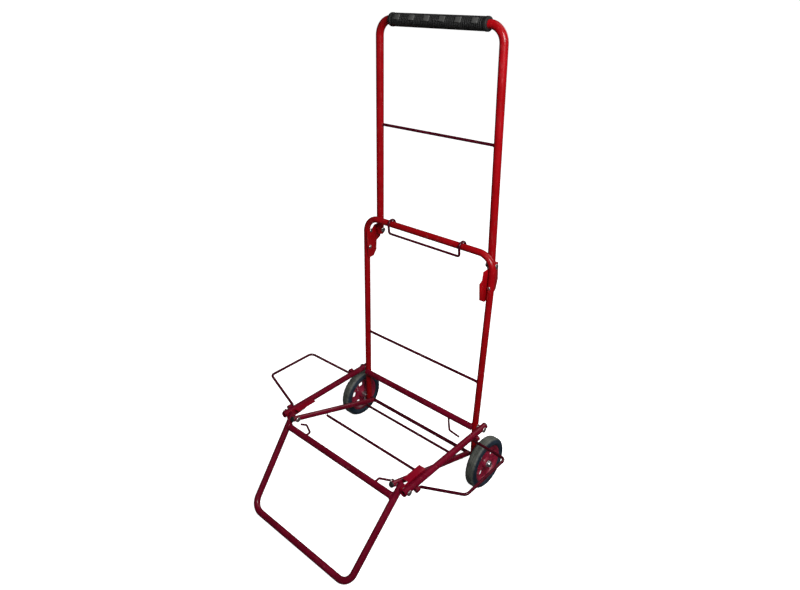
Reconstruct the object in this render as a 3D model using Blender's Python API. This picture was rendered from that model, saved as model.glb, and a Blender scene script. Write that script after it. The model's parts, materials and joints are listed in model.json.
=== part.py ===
"""Folding luggage cart: a bent-tube hand truck with a folding handle, a folding platform and two wheels.

Blender 4.5. Lengths below are millimetres; the meshes are written in metres.
The platform is at the cart's front, toward -Y. +X is on the right of someone who faces the platform
from the front, +Z is up, and the floor is Z = 0.
Points in this file are (x, y, z) with y measured from the pins that carry the platform.
The world origin is on the floor, midway between the foot bar and the back of the grip.
"""

import math

import bmesh
import bpy
from mathutils import Matrix, Vector

MM = 0.001
GAP = 0.3
SIDES = (("l", -1), ("r", 1))
X_AXIS = Vector((1, 0, 0))

# Stock
FRAME_RADIUS = 7.0
HANDLE_RADIUS = 8.0
STRUT_RADIUS = 6.0
WIRE_RADIUS = 3.0
STAY_RADIUS = 2.3
PIN_RADIUS = 3.0
PIN_BORE_RADIUS = 3.4
PIN_HEAD_RADIUS = 6.0
PIN_HEAD_HEIGHT = 3.0
STUD_DEPTH = 5.5
PLATE = 1.6
HINGE_PLATE = 2.4

# Wheels and axle
WHEEL_RADIUS = 58.2
TYRE_WIDTH = 25.0
RIM_RADIUS = 43.0
WHEEL_X = 191.2
AXLE_RADIUS = 4.0
AXLE_Y = -5.8
AXLE_END_X = 204.3
SPACER_RADIUS = 8.0

# Back frame
FRAME_HALF_WIDTH = 162.0
FRAME_TOP_HALF_WIDTH = 172.0
PIVOT_Z = 140.7
FRAME_TOP = Vector((0, 47.0, 532.6))
FRAME_BEND = 34.0
REAR_BAR = Vector((0, -8.6, 140.7))
BACK_WIRE_Z = 249.0

# Handle
HANDLE_PIVOT = Vector((0, 66.5, 500.0))
HANDLE_TOP = Vector((0, 103.0, 939.6))
HANDLE_HALF_WIDTH = 151.1
HANDLE_TOP_HALF_WIDTH = 146.0
HANDLE_BEND = 31.0
HANDLE_WIRE_Z = 735.2
GRIP_HALF_LENGTH = 114.5
GRIP_RADIUS = 13.0

# Platform
CORNER = Vector((0, -241.0, 156.5))
RAIL_X = 177.8
RAIL_TAIL = 13.0
RAIL_NOSE = 10.0
STRUT_X = 147.5
STRUT_TAIL_DROP = 1.7

# Foot
FOOT_X = 161.0
FOOT_BAR = Vector((0, -385.0, 6.9))
FOOT_BAR_HALF_WIDTH = 147.0
FOOT_BEND = 27.0
FRONT_BAR_DROP = 23.0

# Wings
WING_WIRE_RADIUS = 3.0
WING_SLOPE = math.radians(17.5)
WING_REACH = 100.0
WING_HINGE = (-42.0, -215.0)
WING_EDGE = (-75.0, -199.0)
WING_BENDS = (3.5, 14.0, 9.0, 3.5)
EYE_OFFSET = 5.0
EYE_LENGTH = 9.0
EYE_INNER = 3.5
EYE_OUTER = 5.2

# Bail under the hinge bar
BAIL_X = 95.0
BAIL_DROP = 18.0
BAIL_RADIUS = 2.6

# Hinge plates
HINGE_OUTLINES = {
    "l": (
        (75, 507), (74, 478), (61, 472), (58, 450), (48, 438),
        (31, 438), (31, 484), (35, 505), (52, 505), (58, 511), (68, 511),
    ),
    "r": (
        (75, 507), (75, 470), (68, 450), (54, 438), (28, 438),
        (14, 448), (14, 484), (23, 488), (27, 505), (52, 505), (58, 511), (68, 511),
    ),
}
HINGE_CLEARANCE = 0.6
HINGE_RIVETS = ((45.0, 502.0), (38.0, 464.0))
RIVET_RADIUS = 4.5
RIVET_HEIGHT = 2.6

# Hubs
HUB_RADIUS = 11.5
HUB_HALF = 9.2
BUSH_HALF = 9.6
BUSH_RADIUS = 7.0
WHEEL_WINDOWS = 5
WINDOW_INNER = 19.0
WINDOW_OUTER = 35.0
WINDOW_HALF_WIDTH = 7.5

# Small parts
PLUG_HEIGHT = 3.0
BAIL_EYE_STEPS = 10
CORNER_PLATE_LENGTH = 64.0
FLANGE_TOP = 7.6
STRUT_NOSE = 9.0
STRUT_REAR_WIRE = 24.0
STRUT_FRONT_WIRE = 162.0
FORK_CLEARANCE = 0.6

FOOT_FRONT = FOOT_BAR.y - FRAME_RADIUS
GRIP_BACK = HANDLE_TOP.y + GRIP_RADIUS
ORIGIN = Vector((0, -(FOOT_FRONT + GRIP_BACK) / 2, 0))

AXLE = Vector((0, AXLE_Y, WHEEL_RADIUS))
PIVOT = Vector((0, 0, PIVOT_Z))
RAIL_DIRECTION = (CORNER - PIVOT).normalized()
RAIL_NORMAL = X_AXIS.cross(RAIL_DIRECTION).normalized() * -1
EYE_X = RAIL_X + FRAME_RADIUS + EYE_OUTER + GAP


def at_x(point, x):
    return Vector((x, point.y, point.z))


def clear_scene():
    for obj in list(bpy.data.objects):
        bpy.data.objects.remove(obj)
    for mesh in list(bpy.data.meshes):
        bpy.data.meshes.remove(mesh)
    for material in list(bpy.data.materials):
        bpy.data.materials.remove(material)


def make_material(name, colour, roughness, metallic):
    material = bpy.data.materials.new(name)
    material.use_nodes = True
    material.diffuse_color = (*colour, 1)
    shader = material.node_tree.nodes["Principled BSDF"]
    shader.inputs["Base Color"].default_value = (*colour, 1)
    shader.inputs["Roughness"].default_value = roughness
    shader.inputs["Metallic"].default_value = metallic
    return material


def make_empty(name, point, parent=None):
    empty = bpy.data.objects.new(name, None)
    empty.empty_display_size = 0.03
    empty.location = (point + ORIGIN) * MM
    if parent:
        empty.parent = parent
        empty.location -= parent_world(parent)
    bpy.context.scene.collection.objects.link(empty)
    return empty


def parent_world(empty):
    place = Vector(empty.location)
    while empty.parent:
        empty = empty.parent
        place += Vector(empty.location)
    return place


def make_object(name, mesh_data, material, joint, smooth_angle=40):
    """Turn a bmesh in cart coordinates into an object whose origin is its joint's empty."""
    bmesh.ops.recalc_face_normals(mesh_data, faces=mesh_data.faces)
    shift = ORIGIN - parent_world(joint) / MM
    bmesh.ops.translate(mesh_data, verts=mesh_data.verts, vec=shift)
    bmesh.ops.scale(mesh_data, verts=mesh_data.verts, vec=(MM, MM, MM))
    mesh = bpy.data.meshes.new(name)
    mesh_data.to_mesh(mesh)
    mesh_data.free()
    mesh.shade_smooth()
    mesh.set_sharp_from_angle(angle=math.radians(smooth_angle))
    if material:
        mesh.materials.append(material)
    obj = bpy.data.objects.new(name, mesh)
    obj.parent = joint
    bpy.context.scene.collection.objects.link(obj)
    return obj


def cut(obj, cutter_data, name):
    """Subtract a closed bmesh in cart coordinates from an object."""
    cutter = make_object(name, cutter_data, None, obj.parent)
    cutter.hide_render = True
    cutter.display_type = "WIRE"
    boolean = obj.modifiers.new(name, "BOOLEAN")
    boolean.operation = "DIFFERENCE"
    boolean.object = cutter


def rounded_path(points, bends, steps=6):
    """Replace each inner corner of a polyline with an arc; bends is one radius or one for each corner."""
    if not isinstance(bends, (list, tuple)):
        bends = [bends] * (len(points) - 2)
    path = [points[0]]
    for before, corner, after, bend in zip(points, points[1:], points[2:], bends):
        arriving = (corner - before).normalized()
        leaving = (after - corner).normalized()
        turn = arriving.angle(leaving)
        reach = bend * math.tan(turn / 2)
        start = corner - arriving * reach
        inward = (leaving - arriving * arriving.dot(leaving)).normalized()
        centre = start + inward * bend
        for step in range(steps + 1):
            angle = turn * step / steps
            path.append(centre - inward * bend * math.cos(angle) + arriving * bend * math.sin(angle))
    path.append(points[-1])
    return path


def swept(path, radius, sides=12):
    """A solid round bar along a path, with flat ends."""
    mesh_data = bmesh.new()
    tangents = []
    for index in range(len(path)):
        before = path[max(index - 1, 0)]
        after = path[min(index + 1, len(path) - 1)]
        tangents.append((after - before).normalized())
    side = tangents[0].orthogonal().normalized()
    rings = []
    for point, tangent in zip(path, tangents):
        side = (side - tangent * side.dot(tangent)).normalized()
        other = tangent.cross(side)
        ring = []
        for number in range(sides):
            angle = 2 * math.pi * (number + 0.5) / sides
            offset = side * math.cos(angle) + other * math.sin(angle)
            ring.append(mesh_data.verts.new(point + offset * radius))
        rings.append(ring)
    for first, second in zip(rings, rings[1:]):
        for number in range(sides):
            following = (number + 1) % sides
            mesh_data.faces.new((first[number], first[following], second[following], second[number]))
    mesh_data.faces.new(rings[0])
    mesh_data.faces.new(rings[-1])
    return mesh_data


def bar(start, end, radius, sides=12):
    return swept([start, end], radius, sides)


def turned(profile, centre, axis=X_AXIS, segments=40):
    """Revolve a closed (distance along the axis, radius) outline; radius 0 closes on the axis."""
    mesh_data = bmesh.new()
    across = axis.orthogonal().normalized()
    other = axis.cross(across)
    rings = []
    for along, radius in profile:
        middle = centre + axis * along
        if radius == 0:
            rings.append([mesh_data.verts.new(middle)])
            continue
        ring = []
        for number in range(segments):
            angle = 2 * math.pi * number / segments
            offset = across * math.cos(angle) + other * math.sin(angle)
            ring.append(mesh_data.verts.new(middle + offset * radius))
        rings.append(ring)
    pairs = list(zip(rings, rings[1:]))
    if len(rings[0]) > 1:
        pairs.append((rings[-1], rings[0]))
    for first, second in pairs:
        for number in range(segments):
            following = (number + 1) % segments
            corners = [first[number % len(first)], first[following % len(first)]]
            corners += [second[following % len(second)], second[number % len(second)]]
            mesh_data.faces.new(list(dict.fromkeys(corners)))
    return mesh_data


def box(first, second):
    mesh_data = bmesh.new()
    bmesh.ops.create_cube(mesh_data, size=1)
    low = Vector(first)
    high = Vector(second)
    size = high - low
    bmesh.ops.scale(mesh_data, verts=mesh_data.verts, vec=(abs(size.x), abs(size.y), abs(size.z)))
    bmesh.ops.translate(mesh_data, verts=mesh_data.verts, vec=(low + high) / 2)
    return mesh_data


def dome_cap(radius, height, steps=4):
    """The outline of a round head, from its flat face at 0 to its crown on the axis."""
    profile = [(0, 0), (0, radius)]
    for step in range(1, steps + 1):
        angle = math.pi / 2 * step / steps
        profile.append((height * math.sin(angle), radius * math.cos(angle) if step < steps else 0))
    return profile


def plate(outline, x_inner, x_outer):
    """A flat plate square to X, from an outline of (y, z) points."""
    mesh_data = bmesh.new()
    faces = []
    for x in (x_inner, x_outer):
        faces.append([mesh_data.verts.new((x, y, z)) for y, z in outline])
    mesh_data.faces.new(faces[0])
    mesh_data.faces.new(reversed(faces[1]))
    count = len(outline)
    for number in range(count):
        following = (number + 1) % count
        corners = (faces[0][number], faces[0][following], faces[1][following], faces[1][number])
        mesh_data.faces.new(corners)
    return mesh_data


def head_profile(start, height):
    """Half of a rivet head as (along, radius) points, from its flat face out; height may be negative."""
    shoulder = start + height * 0.45
    crown = start + height
    profile = [(start, PIN_HEAD_RADIUS), (shoulder, PIN_HEAD_RADIUS)]
    return profile + [(crown, PIN_HEAD_RADIUS * 0.55), (crown, 0)]


def rivet_profile(length):
    """A rivet from the inner face of its first head, at 0, to the inner face of its second."""
    first = list(reversed(head_profile(0, -PIN_HEAD_HEIGHT)))
    return first + [(0, PIN_RADIUS), (length, PIN_RADIUS)] + head_profile(length, PIN_HEAD_HEIGHT)


def stud_profile(length, collar_start, collar_end):
    """A headed stud with a collar, from its plain end at 0 to the inner face of its head."""
    profile = [(0, 0), (0, PIN_RADIUS), (collar_start, PIN_RADIUS), (collar_start, PIN_HEAD_RADIUS)]
    profile += [(collar_end, PIN_HEAD_RADIUS), (collar_end, PIN_RADIUS), (length, PIN_RADIUS)]
    return profile + head_profile(length, PIN_HEAD_HEIGHT)


def bore(obj, centre, radius, name, half_length):
    """Drill an object along X, half_length to each side of the centre."""
    cut(obj, bar(centre - X_AXIS * half_length, centre + X_AXIS * half_length, radius), name)


def frame_line(z):
    """The centre line of a back-frame leg at height z, for the +X side."""
    if z <= PIVOT_Z:
        part = (PIVOT_Z - z) / (PIVOT_Z - AXLE.z)
        return Vector((FRAME_HALF_WIDTH, AXLE.y * part, z))
    part = (z - PIVOT_Z) / (FRAME_TOP.z - PIVOT_Z)
    half_width = FRAME_HALF_WIDTH + (FRAME_TOP_HALF_WIDTH - FRAME_HALF_WIDTH) * part
    return Vector((half_width, FRAME_TOP.y * part, z))


def handle_line(z):
    """The centre line of a handle leg at height z, for the +X side."""
    part = (z - HANDLE_PIVOT.z) / (HANDLE_TOP.z - HANDLE_PIVOT.z)
    half_width = HANDLE_HALF_WIDTH + (HANDLE_TOP_HALF_WIDTH - HANDLE_HALF_WIDTH) * part
    return Vector((half_width, HANDLE_PIVOT.y + (HANDLE_TOP.y - HANDLE_PIVOT.y) * part, z))


def rail_point(y):
    """The centre line of a platform rail at depth y, for X = 0."""
    return PIVOT + RAIL_DIRECTION * (y / RAIL_DIRECTION.y)


def mirrored(point, side):
    return Vector((point.x * side, point.y, point.z))


def build_back_frame(joint, paint):
    leg_end = frame_line(AXLE.z - 9)
    leg_pivot = frame_line(PIVOT_Z)
    leg_top = at_x(FRAME_TOP, FRAME_TOP_HALF_WIDTH)
    gentle = rounded_path([leg_end, leg_pivot, leg_top], 60, 2)[:-1]
    corner = rounded_path([leg_pivot, leg_top, mirrored(leg_top, -1)], FRAME_BEND)[1:-1]
    half = gentle + corner
    path = half + [mirrored(point, -1) for point in reversed(half)]
    frame = make_object("back_frame", swept(path, FRAME_RADIUS), paint, joint)
    for name, side in SIDES:
        bore(frame, at_x(AXLE, side * FRAME_HALF_WIDTH), AXLE_RADIUS + 0.4, "axle_bore_" + name, 15)
        mouth = at_x(PIVOT, side * (FRAME_HALF_WIDTH + 15 - STUD_DEPTH - GAP))
        bore(frame, mouth, PIN_BORE_RADIUS, "frame_pin_bore_" + name, 15)


def build_rear_bar(joint, paint):
    """The bar between the legs, with its ends cut to sit against the round legs."""
    end = at_x(REAR_BAR, FRAME_HALF_WIDTH - 2)
    rear_bar = make_object("rear_bar", bar(mirrored(end, -1), end, FRAME_RADIUS), paint, joint)
    for name, side in SIDES:
        heights = (PIVOT_Z - 40, PIVOT_Z, PIVOT_Z + 40)
        leg = [mirrored(frame_line(z), side) for z in heights]
        cut(rear_bar, swept(leg, FRAME_RADIUS + GAP, 16), "rear_bar_saddle_" + name)


def build_cross_wire(name, end, joint, paint):
    """A straight wire from end to its mirror image on the other side."""
    make_object(name, bar(mirrored(end, -1), end, WIRE_RADIUS, 8), paint, joint)


def build_back_wire(joint, paint):
    end = frame_line(BACK_WIRE_Z)
    end.x -= FRAME_RADIUS + GAP
    build_cross_wire("back_cross_wire", end, joint, paint)


def build_hinge_plates(joint, paint, steel):
    """Plates on the inner faces of the legs, which carry the handle's pins behind the legs."""
    inner = HANDLE_HALF_WIDTH + HANDLE_RADIUS + HINGE_CLEARANCE
    for name, side in SIDES:
        faces = sorted((side * inner, side * (inner + HINGE_PLATE)))
        outline = plate(HINGE_OUTLINES[name], *faces)
        hinge = make_object("hinge_plate_" + name, outline, paint, joint, 25)
        bore(hinge, at_x(HANDLE_PIVOT, side * inner), PIN_BORE_RADIUS, "hinge_pin_bore_" + name, 6)
        for number, (y, z) in enumerate(HINGE_RIVETS):
            centre = Vector((side * (inner - GAP), y, z))
            head = turned(dome_cap(RIVET_RADIUS, RIVET_HEIGHT), centre, X_AXIS * -side, 12)
            make_object(f"hinge_rivet_{name}_{number + 1}", head, steel, joint)


def build_axle(joint, paint, steel):
    end = at_x(AXLE, AXLE_END_X)
    make_object("axle", bar(mirrored(end, -1), end, AXLE_RADIUS), paint, joint)
    for name, side in SIDES:
        along = X_AXIS * side
        inner = FRAME_HALF_WIDTH + FRAME_RADIUS + GAP
        length = WHEEL_X - BUSH_HALF - GAP - inner
        bore_radius = AXLE_RADIUS + GAP
        spacer = [(0, bore_radius), (0, SPACER_RADIUS), (length, SPACER_RADIUS), (length, bore_radius)]
        sleeve = turned(spacer, at_x(AXLE, side * inner), along, 16)
        make_object("axle_spacer_" + name, sleeve, steel, joint)
        centre = at_x(AXLE, side * (AXLE_END_X + GAP))
        reach = WHEEL_X + BUSH_HALF + GAP - AXLE_END_X
        cap = [(5.0, 0), (4.4, 3.6), (2.6, 6.2), (0.6, 7.6), (reach, 7.8)]
        cap += [(reach, bore_radius), (0, bore_radius), (0, 0)]
        make_object("axle_cap_" + name, turned(cap, centre, along, 16), steel, joint)


def build_wheel(name, side, joint, rubber, paint, nylon):
    centre = at_x(AXLE, side * WHEEL_X)
    half = TYRE_WIDTH / 2
    sidewall = [(half - 3, RIM_RADIUS), (half, RIM_RADIUS + 3.5), (half - 0.6, RIM_RADIUS + 10)]
    sidewall += [(half - 3.5, WHEEL_RADIUS - 1.2), (half - 8, WHEEL_RADIUS)]
    tyre = sidewall + [(-along, radius) for along, radius in reversed(sidewall)]
    make_object("tyre_" + name, turned(tyre, centre, segments=36), rubber, joint)

    face = [(HUB_HALF, BUSH_RADIUS + GAP), (HUB_HALF, HUB_RADIUS), (3.0, HUB_RADIUS + 2)]
    face += [(2.5, RIM_RADIUS - 5.5), (half - 4, RIM_RADIUS - 3.5), (half - 4, RIM_RADIUS - 0.4)]
    outline = face + [(-along, radius) for along, radius in reversed(face)]
    wheel = make_object("wheel_" + name, turned(outline, centre, segments=30), paint, joint)
    for number in range(WHEEL_WINDOWS):
        turn = 2 * math.pi * number / WHEEL_WINDOWS
        window = box((-9, -WINDOW_HALF_WIDTH, WINDOW_INNER), (9, WINDOW_HALF_WIDTH, WINDOW_OUTER))
        upright = [edge for edge in window.edges if abs((edge.verts[0].co - edge.verts[1].co).x) > 1]
        bmesh.ops.bevel(window, geom=upright, offset=3.5, segments=2, affect="EDGES")
        bmesh.ops.rotate(window, verts=window.verts, matrix=Matrix.Rotation(turn, 3, "X"))
        bmesh.ops.translate(window, verts=window.verts, vec=centre)
        cut(wheel, window, f"wheel_window_{name}_{number + 1}")

    bush = [(BUSH_HALF, AXLE_RADIUS + GAP), (BUSH_HALF, BUSH_RADIUS), (-BUSH_HALF, BUSH_RADIUS)]
    bush.append((-BUSH_HALF, AXLE_RADIUS + GAP))
    make_object("wheel_bush_" + name, turned(bush, centre, segments=16), nylon, joint)


def build_rivet(name, inner, outer, centre, side, joint, steel):
    """A rivet along X whose heads face each other at the inner and outer X."""
    start = at_x(centre, side * inner)
    make_object(name, turned(rivet_profile(outer - inner), start, X_AXIS * side, 12), steel, joint)


def build_platform_pins(joint, steel):
    """Studs set into the legs, on which the rails turn."""
    inner = FRAME_HALF_WIDTH - STUD_DEPTH
    outer = RAIL_X + FRAME_RADIUS + GAP
    collar = (STUD_DEPTH + FRAME_RADIUS + GAP, RAIL_X - FRAME_RADIUS - GAP - inner)
    for name, side in SIDES:
        profile = stud_profile(outer - inner, *collar)
        stud = turned(profile, at_x(PIVOT, side * inner), X_AXIS * side, 12)
        make_object("platform_pin_" + name, stud, steel, joint)


def build_handle(joint, paint, steel, rubber):
    low = handle_line(HANDLE_PIVOT.z - 9)
    top = handle_line(HANDLE_TOP.z)
    half = rounded_path([low, top, mirrored(top, -1)], HANDLE_BEND)[:-1]
    path = half + [mirrored(point, -1) for point in reversed(half)]
    handle = make_object("handle_tube", swept(path, HANDLE_RADIUS), paint, joint)
    wire_end = handle_line(HANDLE_WIRE_Z)
    wire_end.x -= HANDLE_RADIUS + GAP
    build_cross_wire("handle_cross_wire", wire_end, joint, paint)
    for name, side in SIDES:
        centre = at_x(HANDLE_PIVOT, side * HANDLE_HALF_WIDTH)
        bore(handle, centre, PIN_BORE_RADIUS, "handle_bore_" + name, 12)
        inner = HANDLE_HALF_WIDTH - HANDLE_RADIUS - GAP
        outer = HANDLE_HALF_WIDTH + HANDLE_RADIUS + HINGE_CLEARANCE + HINGE_PLATE + GAP
        build_rivet("handle_pin_" + name, inner, outer, HANDLE_PIVOT, side, joint, steel)
    build_grip(joint, rubber)


def build_grip(joint, rubber):
    """A rubber sleeve along the handle's top bar."""
    bore_radius = HANDLE_RADIUS + GAP
    edge = GRIP_HALF_LENGTH
    half = [(edge, bore_radius), (edge, GRIP_RADIUS - 2), (edge - 2, GRIP_RADIUS)]
    profile = half + [(-along, radius) for along, radius in reversed(half)]
    make_object("handle_grip", turned(profile, HANDLE_TOP, segments=24), rubber, joint)


def build_bail(joint, paint):
    """A wire loop that hangs from two eyes around the hinge bar."""
    eye_radius = FRAME_RADIUS + BAIL_RADIUS + 0.6
    eye = []
    for step in range(BAIL_EYE_STEPS + 1):
        angle = math.radians(-70) + math.radians(250) * step / BAIL_EYE_STEPS
        offset = Vector((0, math.cos(angle), math.sin(angle))) * eye_radius
        eye.append(at_x(FRAME_TOP, BAIL_X) + offset)
    low = Vector((BAIL_X, FRAME_TOP.y - eye_radius, FRAME_TOP.z - BAIL_DROP))
    drop = rounded_path([eye[-1], low, mirrored(low, -1)], 5, 4)[1:-1]
    half = eye + drop
    path = half + [mirrored(point, -1) for point in reversed(half)]
    make_object("bail_wire", swept(path, BAIL_RADIUS, 8), paint, joint)


def build_rails(joint, paint, steel, plug_plastic):
    for name, side in SIDES:
        tail = at_x(PIVOT - RAIL_DIRECTION * RAIL_TAIL, side * RAIL_X)
        nose = at_x(CORNER + RAIL_DIRECTION * RAIL_NOSE, side * RAIL_X)
        rail = make_object("rail_" + name, bar(tail, nose, FRAME_RADIUS), paint, joint)
        bore(rail, at_x(PIVOT, side * RAIL_X), PIN_BORE_RADIUS, "rail_pin_bore_" + name, 12)
        bore(rail, at_x(CORNER, side * RAIL_X), PIN_BORE_RADIUS, "rail_corner_bore_" + name, 12)
        seat = tail - RAIL_DIRECTION * GAP
        plug = turned(dome_cap(FRAME_RADIUS, PLUG_HEIGHT), seat, -RAIL_DIRECTION, 12)
        make_object("rail_plug_" + name, plug, plug_plastic, joint)
        inner = STRUT_X - STRUT_RADIUS - GAP
        outer = RAIL_X + FRAME_RADIUS + GAP
        build_rivet("corner_pin_" + name, inner, outer, CORNER, side, joint, steel)


def rail_offset(along, above):
    """A (y, z) point in the rail's own frame: distance forward of the pivot, height over its centre."""
    point = PIVOT + RAIL_DIRECTION * along + RAIL_NORMAL * above
    return (point.y, point.z)


def build_corner_plates(joint, paint):
    """Folded plates on the inner faces of the rails, which stiffen the front corners."""
    length = (CORNER - PIVOT).length
    web_outer = RAIL_X - FRAME_RADIUS - GAP
    web_inner = web_outer - PLATE
    start = length - CORNER_PLATE_LENGTH
    corners = ((start, FLANGE_TOP), (length + 8, FLANGE_TOP), (length + 8, -7), (length - 20, -11))
    corners += ((start + 22, -9), (start, -2))
    web = [rail_offset(along, above) for along, above in corners]
    flange_corners = ((start, FLANGE_TOP), (length - 14, FLANGE_TOP))
    flange_corners += ((length - 14, FLANGE_TOP - PLATE), (start, FLANGE_TOP - PLATE))
    flange = [rail_offset(along, above) for along, above in flange_corners]
    for name, side in SIDES:
        faces = sorted((side * web_inner, side * web_outer))
        corner = make_object("corner_plate_" + name, plate(web, *faces), paint, joint, 25)
        flange_faces = sorted((side * (FOOT_X - FRAME_RADIUS + 1), side * (web_outer - 0.4)))
        tool = make_object("corner_flange_" + name, plate(flange, *flange_faces), None, joint)
        tool.hide_render = True
        tool.display_type = "WIRE"
        union = corner.modifiers.new("flange", "BOOLEAN")
        union.operation = "UNION"
        union.object = tool
        bore(corner, at_x(CORNER, side * web_inner), PIN_BORE_RADIUS, "plate_bore_" + name, 6)


def build_wing_eyes(joint, paint):
    """Short tubes on the outer faces of the rails, in which the wing wires turn."""
    half = EYE_LENGTH / 2
    profile = [(-half, EYE_INNER), (-half, EYE_OUTER), (half, EYE_OUTER), (half, EYE_INNER)]
    reach = half + EYE_OFFSET
    places = (("rear", WING_HINGE[0] + reach), ("front", WING_HINGE[1] - reach))
    for name, side in SIDES:
        for place, y in places:
            eye = turned(profile, at_x(rail_point(y), side * EYE_X), RAIL_DIRECTION, 12)
            make_object(f"wing_eye_{place}_{name}", eye, paint, joint)


def build_wing(name, side, joint, paint):
    """One bent wire: two ends along the rail, two legs outward and the outer edge."""
    outward = Vector((side * math.cos(WING_SLOPE), 0, 0)) + RAIL_NORMAL * math.sin(WING_SLOPE)
    end = EYE_OFFSET + EYE_LENGTH + 2
    stations = ((WING_HINGE[0] + end, 0), (WING_HINGE[0], 0), (WING_EDGE[0], WING_REACH))
    stations += ((WING_EDGE[1], WING_REACH), (WING_HINGE[1], 0), (WING_HINGE[1] - end, 0))
    points = [at_x(rail_point(y), side * EYE_X) + outward * reach for y, reach in stations]
    wire = swept(rounded_path(points, WING_BENDS, 4), WING_WIRE_RADIUS, 8)
    make_object("wing_" + name, wire, paint, joint)


def build_struts(joint, paint, plug_plastic):
    """Struts from the corner pins down to the axle, where each ends in an open fork."""
    rear = Vector((0, AXLE.y, AXLE.z - STRUT_TAIL_DROP))
    direction = (CORNER - rear).normalized()
    below = X_AXIS.cross(direction).normalized()
    for name, side in SIDES:
        start = at_x(rear - direction * 4, side * STRUT_X)
        nose = at_x(CORNER + direction * STRUT_NOSE, side * STRUT_X)
        strut = make_object("strut_" + name, bar(start, nose, STRUT_RADIUS), paint, joint)
        bore(strut, at_x(CORNER, side * STRUT_X), PIN_BORE_RADIUS, "strut_bore_" + name, 12)
        slot = fork_slot(direction, side)
        cut(strut, slot, "strut_slot_" + name)
        plug = turned(dome_cap(STRUT_RADIUS, PLUG_HEIGHT), nose + direction * GAP, direction, 12)
        make_object("strut_plug_" + name, plug, plug_plastic, joint)
    under = below * (STRUT_RADIUS + WIRE_RADIUS + GAP)
    for name, along in (("strut_rear_wire", STRUT_REAR_WIRE), ("strut_front_wire", STRUT_FRONT_WIRE)):
        end = at_x(rear + direction * along + under, STRUT_X - 2)
        build_cross_wire(name, end, joint, paint)


def fork_slot(direction, side):
    """A slot that is open at the strut's rear end and round where it seats on the axle."""
    radius = AXLE_RADIUS + FORK_CLEARANCE
    centre = at_x(AXLE, 0)
    upward = X_AXIS.cross(direction).normalized() * -1
    outline = []
    for step in range(9):
        angle = math.pi * step / 8
        offset = upward * math.cos(angle) + direction * math.sin(angle)
        outline.append(centre + offset * radius)
    outline.append(centre - upward * (radius + 3) - direction * 14)
    outline.append(centre + upward * (radius + 1) - direction * 14)
    inner = side * STRUT_X - 12
    return plate([(point.y, point.z) for point in outline], inner, inner + 24)


def build_foot(joint, paint):
    bottom = at_x(FOOT_BAR, FOOT_BAR_HALF_WIDTH)
    top = at_x(CORNER, FOOT_X)
    direction = (bottom - top).normalized()
    start = top - direction * 8
    half = rounded_path([start, bottom, mirrored(bottom, -1)], FOOT_BEND)[:-1]
    path = half + [mirrored(point, -1) for point in reversed(half)]
    foot = make_object("foot_tube", swept(path, FRAME_RADIUS), paint, joint)
    front = top + direction * FRONT_BAR_DROP
    end = at_x(front, front.x - 2)
    front_bar = make_object("front_bar", bar(mirrored(end, -1), end, FRAME_RADIUS), paint, joint)
    for name, side in SIDES:
        bore(foot, at_x(CORNER, side * FOOT_X), PIN_BORE_RADIUS, "foot_bore_" + name, 12)
        saddle = [mirrored(start, side), mirrored(bottom, side)]
        cut(front_bar, swept(saddle, FRAME_RADIUS + GAP, 16), "front_bar_saddle_" + name)
        build_corner_wire(name, side, front, joint, paint)


def build_corner_wire(name, side, front, joint, paint):
    """A small wire stay from the back of the front bar, out toward the corner."""
    base = front.y + FRAME_RADIUS + GAP
    end_x = STRUT_X - STRUT_RADIUS - STAY_RADIUS
    points = ((104, base, 0), (104, base + 9, 1), (127, base + 19, 2), (end_x, base + 12, 2))
    route = [Vector((side * x, y, front.z + rise)) for x, y, rise in points]
    make_object("corner_wire_" + name, swept(rounded_path(route, 4, 3), STAY_RADIUS, 8), paint, joint)


def build_latch_wire(joint, paint):
    """A bent wire under the rear bar that keeps the +X strut's fork on the axle."""
    top = Vector((96, REAR_BAR.y, REAR_BAR.z - FRAME_RADIUS - 1.2))
    hook = Vector((STRUT_X - STRUT_RADIUS - STAY_RADIUS, -27, 114))
    route = [top, top + Vector((2, -3, -9)), Vector((110, -24, 115)), hook]
    make_object("latch_wire", swept(rounded_path(route, 5, 3), STAY_RADIUS, 8), paint, joint)


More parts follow.
